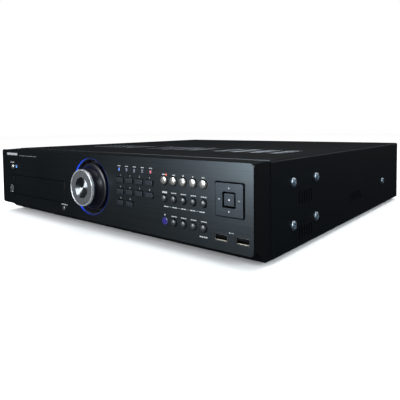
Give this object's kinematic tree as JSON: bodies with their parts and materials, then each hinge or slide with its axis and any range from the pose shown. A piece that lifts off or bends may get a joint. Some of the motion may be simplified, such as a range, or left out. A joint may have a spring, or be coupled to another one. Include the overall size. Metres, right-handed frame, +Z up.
{
  "type": "digital video recorder",
  "caption": "Low rack-width black recorder with a brushed front, jog dial with a lit ring, number keys, round buttons, a direction pad, a disc tray and rear sockets.",
  "frame": {"origin": "middle of the whole recorder in width and depth, at the level its feet stand on", "axes": "+X to the right seen from the front, +Y from the front plate to the rear sockets, +Z up"},
  "size_m": [0.4444, 0.47, 0.093],
  "materials": {
    "cover_paint": "satin black powder coat",
    "pan_steel": "zinc-plated sheet steel",
    "rear_paint": "satin black powder coat",
    "bezel_plastic": "fine-grained black",
    "front_metal": "dark anodised, brushed lengthwise",
    "foot_rubber": "matte",
    "ear_screw_steel": "bright zinc",
    "small_screw_steel": "nickel",
    "knob_gloss": "high gloss blue-black",
    "bright_rim": "polished",
    "spun_cap": "blasted ring round a spun dish",
    "cup_gloss": "gloss black",
    "light_ring": "lit blue",
    "dark_moulding": "plain moulded",
    "key_plastic": "satin, metallic grey",
    "bright_button": "bright metallised",
    "dark_button": "metallised grey",
    "pad_plastic": "satin, metallic grey",
    "clear_lens": "clear plastic",
    "socket_steel": "bright plated",
    "circuit_board": "green solder mask",
    "tray_plastic": "fine-grained",
    "drive_steel": "plated steel",
    "disk_aluminium": "cast and machined",
    "ribbon_plastic": "grey",
    "jack_nickel": "nickel",
    "inlet_plastic": "black"
  },
  "bodies": {
    "root": {"base_pan": "pan_steel", "top_cover": "cover_paint", "rear_panel": "rear_paint", "front_bezel": "bezel_plastic", "front_plate": "front_metal", "feet": "foot_rubber", "ear_screws": "ear_screw_steel", "m3_screws": "small_screw_steel", "dial_cup": "cup_gloss", "dial_light_ring": "light_ring", "dial_encoder": "dark_moulding", "light_guides": "clear_lens", "usb_ports": "socket_steel", "front_board": "circuit_board", "disc_drive": "drive_steel", "hard_drives": "disk_aluminium", "drive_bracket": "pan_steel", "main_board": "circuit_board", "ribbon_cable": "ribbon_plastic", "power_supply": "drive_steel", "fan_frame": "dark_moulding", "video_jacks": "jack_nickel", "rear_sockets": "socket_steel", "ac_inlet": "inlet_plastic"},
    "jog": {"jog_knob": "knob_gloss", "jog_rim": "bright_rim", "jog_cap": "spun_cap"},
    "shuttle": {"shuttle_ring": "knob_gloss"},
    "nav_web": {"nav_web": "dark_moulding"},
    "nav_pad": {"nav_pad": "pad_plastic"},
    "tray": {"disc_tray": "tray_plastic", "disc_door": "front_metal"},
    "rotor": {"fan_rotor": "dark_moulding"},
    "number_key_1": {"number_key_1": "key_plastic"},
    "number_key_2": {"number_key_2": "key_plastic"},
    "number_key_3": {"number_key_3": "key_plastic"},
    "number_key_4": {"number_key_4": "key_plastic"},
    "number_key_5": {"number_key_5": "key_plastic"},
    "number_key_6": {"number_key_6": "key_plastic"},
    "number_key_7": {"number_key_7": "key_plastic"},
    "number_key_8": {"number_key_8": "key_plastic"},
    "number_key_9": {"number_key_9": "key_plastic"},
    "number_key_0": {"number_key_0": "key_plastic"},
    "record_button": {"record_button": "bright_button"},
    "rewind_button": {"rewind_button": "bright_button"},
    "stop_button": {"stop_button": "bright_button"},
    "play_button": {"play_button": "bright_button"},
    "forward_button": {"forward_button": "bright_button"},
    "function_button_1": {"function_button_1": "dark_button"},
    "function_button_2": {"function_button_2": "dark_button"},
    "function_button_3": {"function_button_3": "dark_button"},
    "function_button_4": {"function_button_4": "dark_button"},
    "function_button_5": {"function_button_5": "dark_button"},
    "mode_button": {"mode_button": "dark_button"},
    "audio_button": {"audio_button": "dark_button"},
    "alarm_button": {"alarm_button": "dark_button"},
    "menu_button": {"menu_button": "dark_button"},
    "enter_button": {"enter_button": "pad_plastic"},
    "power_button": {"power_button": "bright_button"},
    "eject_button": {"eject_button": "dark_button"}
  },
  "joints": [
    {"name": "jog_turn", "type": "hinge", "parent": "root", "child": "jog", "pos_m": [-0.0022, -0.222, 0.0546], "axis": [0, -1, 0], "continuous": true},
    {"name": "shuttle_turn", "type": "hinge", "parent": "root", "child": "shuttle", "pos_m": [-0.0022, -0.222, 0.0546], "axis": [0, -1, 0], "range_deg": [-75, 75], "stiffness_Nm_per_rad": 0.03},
    {"name": "number_key_1_press", "type": "slide", "parent": "root", "child": "number_key_1", "axis": [0, 1, 0], "range_m": [0, 0.0008], "stiffness_N_per_m": 600, "springref_m": -0.001},
    {"name": "number_key_2_press", "type": "slide", "parent": "root", "child": "number_key_2", "axis": [0, 1, 0], "range_m": [0, 0.0008], "stiffness_N_per_m": 600, "springref_m": -0.001},
    {"name": "number_key_3_press", "type": "slide", "parent": "root", "child": "number_key_3", "axis": [0, 1, 0], "range_m": [0, 0.0008], "stiffness_N_per_m": 600, "springref_m": -0.001},
    {"name": "number_key_4_press", "type": "slide", "parent": "root", "child": "number_key_4", "axis": [0, 1, 0], "range_m": [0, 0.0008], "stiffness_N_per_m": 600, "springref_m": -0.001},
    {"name": "number_key_5_press", "type": "slide", "parent": "root", "child": "number_key_5", "axis": [0, 1, 0], "range_m": [0, 0.0008], "stiffness_N_per_m": 600, "springref_m": -0.001},
    {"name": "number_key_6_press", "type": "slide", "parent": "root", "child": "number_key_6", "axis": [0, 1, 0], "range_m": [0, 0.0008], "stiffness_N_per_m": 600, "springref_m": -0.001},
    {"name": "number_key_7_press", "type": "slide", "parent": "root", "child": "number_key_7", "axis": [0, 1, 0], "range_m": [0, 0.0008], "stiffness_N_per_m": 600, "springref_m": -0.001},
    {"name": "number_key_8_press", "type": "slide", "parent": "root", "child": "number_key_8", "axis": [0, 1, 0], "range_m": [0, 0.0008], "stiffness_N_per_m": 600, "springref_m": -0.001},
    {"name": "number_key_9_press", "type": "slide", "parent": "root", "child": "number_key_9", "axis": [0, 1, 0], "range_m": [0, 0.0008], "stiffness_N_per_m": 600, "springref_m": -0.001},
    {"name": "number_key_0_press", "type": "slide", "parent": "root", "child": "number_key_0", "axis": [0, 1, 0], "range_m": [0, 0.0008], "stiffness_N_per_m": 600, "springref_m": -0.001},
    {"name": "record_button_press", "type": "slide", "parent": "root", "child": "record_button", "axis": [0, 1, 0], "range_m": [0, 0.0008], "stiffness_N_per_m": 600, "springref_m": -0.001},
    {"name": "rewind_button_press", "type": "slide", "parent": "root", "child": "rewind_button", "axis": [0, 1, 0], "range_m": [0, 0.0008], "stiffness_N_per_m": 600, "springref_m": -0.001},
    {"name": "stop_button_press", "type": "slide", "parent": "root", "child": "stop_button", "axis": [0, 1, 0], "range_m": [0, 0.0008], "stiffness_N_per_m": 600, "springref_m": -0.001},
    {"name": "play_button_press", "type": "slide", "parent": "root", "child": "play_button", "axis": [0, 1, 0], "range_m": [0, 0.0008], "stiffness_N_per_m": 600, "springref_m": -0.001},
    {"name": "forward_button_press", "type": "slide", "parent": "root", "child": "forward_button", "axis": [0, 1, 0], "range_m": [0, 0.0008], "stiffness_N_per_m": 600, "springref_m": -0.001},
    {"name": "function_button_1_press", "type": "slide", "parent": "root", "child": "function_button_1", "axis": [0, 1, 0], "range_m": [0, 0.0008], "stiffness_N_per_m": 600, "springref_m": -0.001},
    {"name": "function_button_2_press", "type": "slide", "parent": "root", "child": "function_button_2", "axis": [0, 1, 0], "range_m": [0, 0.0008], "stiffness_N_per_m": 600, "springref_m": -0.001},
    {"name": "function_button_3_press", "type": "slide", "parent": "root", "child": "function_button_3", "axis": [0, 1, 0], "range_m": [0, 0.0008], "stiffness_N_per_m": 600, "springref_m": -0.001},
    {"name": "function_button_4_press", "type": "slide", "parent": "root", "child": "function_button_4", "axis": [0, 1, 0], "range_m": [0, 0.0008], "stiffness_N_per_m": 600, "springref_m": -0.001},
    {"name": "function_button_5_press", "type": "slide", "parent": "root", "child": "function_button_5", "axis": [0, 1, 0], "range_m": [0, 0.0008], "stiffness_N_per_m": 600, "springref_m": -0.001},
    {"name": "mode_button_press", "type": "slide", "parent": "root", "child": "mode_button", "axis": [0, 1, 0], "range_m": [0, 0.0008], "stiffness_N_per_m": 600, "springref_m": -0.001},
    {"name": "audio_button_press", "type": "slide", "parent": "root", "child": "audio_button", "axis": [0, 1, 0], "range_m": [0, 0.0008], "stiffness_N_per_m": 600, "springref_m": -0.001},
    {"name": "alarm_button_press", "type": "slide", "parent": "root", "child": "alarm_button", "axis": [0, 1, 0], "range_m": [0, 0.0008], "stiffness_N_per_m": 600, "springref_m": -0.001},
    {"name": "menu_button_press", "type": "slide", "parent": "root", "child": "menu_button", "axis": [0, 1, 0], "range_m": [0, 0.0008], "stiffness_N_per_m": 600, "springref_m": -0.001},
    {"name": "enter_button_press", "type": "slide", "parent": "root", "child": "enter_button", "axis": [0, 1, 0], "range_m": [0, 0.0008], "stiffness_N_per_m": 600, "springref_m": -0.001},
    {"name": "power_button_press", "type": "slide", "parent": "root", "child": "power_button", "axis": [0, 1, 0], "range_m": [0, 0.0008], "stiffness_N_per_m": 600, "springref_m": -0.001},
    {"name": "eject_button_press", "type": "slide", "parent": "root", "child": "eject_button", "axis": [0, 1, 0], "range_m": [0, 0.0008], "stiffness_N_per_m": 600, "springref_m": -0.001},
    {"name": "nav_left_right", "type": "hinge", "parent": "root", "child": "nav_web", "pos_m": [0.1956, -0.2158, 0.05995], "axis": [0, 0, 1], "range_deg": [-2.5, 2.5], "stiffness_Nm_per_rad": 0.4},
    {"name": "nav_up_down", "type": "hinge", "parent": "nav_web", "child": "nav_pad", "pos_m": [0.1956, -0.2158, 0.05995], "axis": [1, 0, 0], "range_deg": [-2.5, 2.5], "stiffness_Nm_per_rad": 0.4},
    {"name": "tray_slide", "type": "slide", "parent": "root", "child": "tray", "axis": [0, -1, 0], "range_m": [0, 0.135]},
    {"name": "fan_turn", "type": "hinge", "parent": "root", "child": "rotor", "pos_m": [0.1105, 0.208, 0.0482], "axis": [0, 1, 0], "continuous": true}
  ]
}
